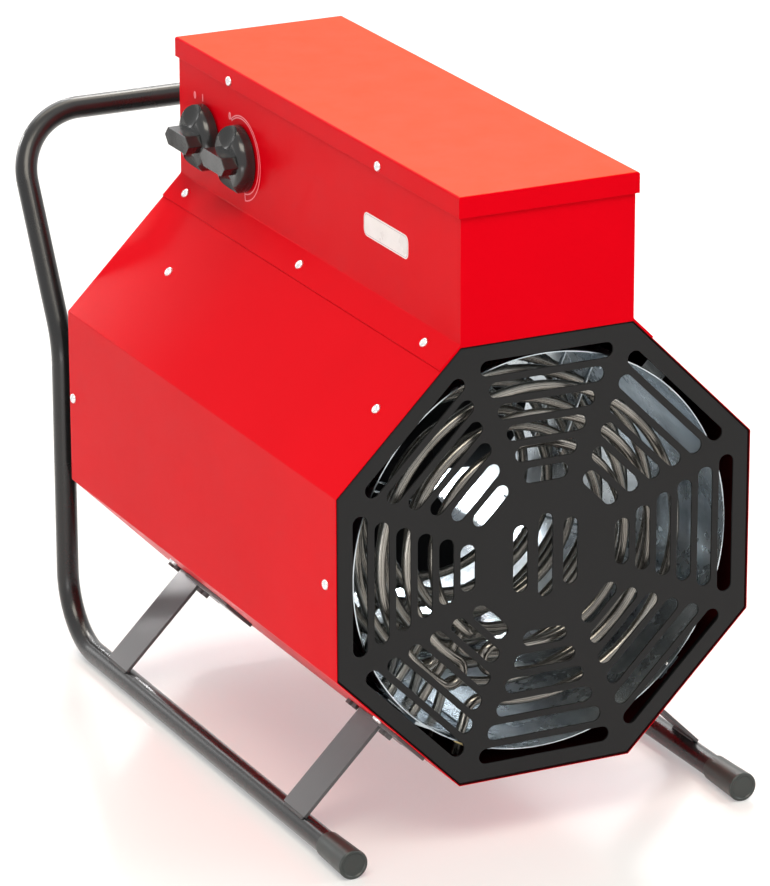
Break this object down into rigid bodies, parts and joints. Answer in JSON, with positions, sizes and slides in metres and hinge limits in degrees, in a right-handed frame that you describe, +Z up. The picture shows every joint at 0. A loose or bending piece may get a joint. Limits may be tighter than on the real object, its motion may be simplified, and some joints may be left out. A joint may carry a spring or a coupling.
{
  "type": "forced air heater",
  "caption": "Electric fan heater: red octagonal duct casing with slotted black outlet grille, control box on top with two knobs, on a bent tube stand with carry handle.",
  "frame": {"origin": "on the floor, under the middle of the whole heater in length and width", "axes": "+Z up, -Y out of the outlet grille, +Y towards the carry handle, +X to the right for a person who stands in front of the grille and faces it, so the knobs are on the -X side"},
  "size_m": [0.3896, 0.707, 0.563],
  "materials": {
    "red_paint": "smooth gloss powder coat",
    "black_paint": "satin powder coat",
    "strut_steel": "satin paint over welded flat bar",
    "galvanised": "galvanised sheet with fine spangle",
    "element_steel": "heat-toned steel sheath",
    "zinc_screws": "bright zinc plate",
    "brass": "plain",
    "fan_black": "satin black enamel",
    "motor_grey": "grey enamel",
    "shaft_steel": "turned steel",
    "knob_black": "moulded, half gloss",
    "cap_grey": "soft moulded caps",
    "gland_black": "moulded",
    "device_grey": "moulded"
  },
  "bodies": {
    "root": {"box_lid": "red_paint", "cable_gland": "gland_black", "casing_screws": "zinc_screws", "casing_shell": "red_paint", "contactor": "device_grey", "control_box": "red_paint", "drum_clips_front": "galvanised", "drum_clips_rear": "galvanised", "element_support_left": "galvanised", "element_support_right": "galvanised", "element_support_top": "galvanised", "fan_motor": "motor_grey", "flange_screws": "zinc_screws", "foot_cap_left": "cap_grey", "foot_cap_right": "cap_grey", "front_grille": "black_paint", "gland_nut": "gland_black", "heating_element_1": "element_steel", "heating_element_2": "element_steel", "heating_element_3": "element_steel", "heating_element_4": "element_steel", "heating_element_5": "element_steel", "inner_drum": "galvanised", "lid_screws": "zinc_screws", "motor_bolts": "zinc_screws", "motor_bracket": "galvanised", "mounting_rail": "galvanised", "rear_guard": "black_paint", "rear_panel": "black_paint", "rotary_switch": "gland_black", "stand_tube": "black_paint", "strut_front_left": "strut_steel", "strut_front_right": "strut_steel", "strut_nuts": "zinc_screws", "strut_rear_left": "strut_steel", "strut_rear_right": "strut_steel", "terminal_block": "device_grey", "terminal_nuts": "brass", "terminal_plate": "galvanised", "thermal_cutout": "shaft_steel", "thermostat": "gland_black"},
    "fan": {"fan_impeller": "fan_black", "motor_shaft": "shaft_steel", "fan_nut": "zinc_screws"},
    "switch_dial": {"switch_knob": "knob_black", "switch_shaft": "shaft_steel"},
    "thermostat_dial": {"thermostat_knob": "knob_black", "thermostat_shaft": "shaft_steel"}
  },
  "joints": [
    {"name": "fan_spin", "type": "hinge", "parent": "root", "child": "fan", "pos_m": [0, 0.0125, 0.2475], "axis": [0, 1, 0], "continuous": true},
    {"name": "switch_knob_turn", "type": "hinge", "parent": "root", "child": "switch_dial", "pos_m": [-0.0787, 0.1515, 0.4861], "axis": [1, 0, 0], "range_deg": [0, 135]},
    {"name": "thermostat_knob_turn", "type": "hinge", "parent": "root", "child": "thermostat_dial", "pos_m": [-0.0787, 0.0765, 0.4861], "axis": [1, 0, 0], "range_deg": [-130, 140]}
  ]
}
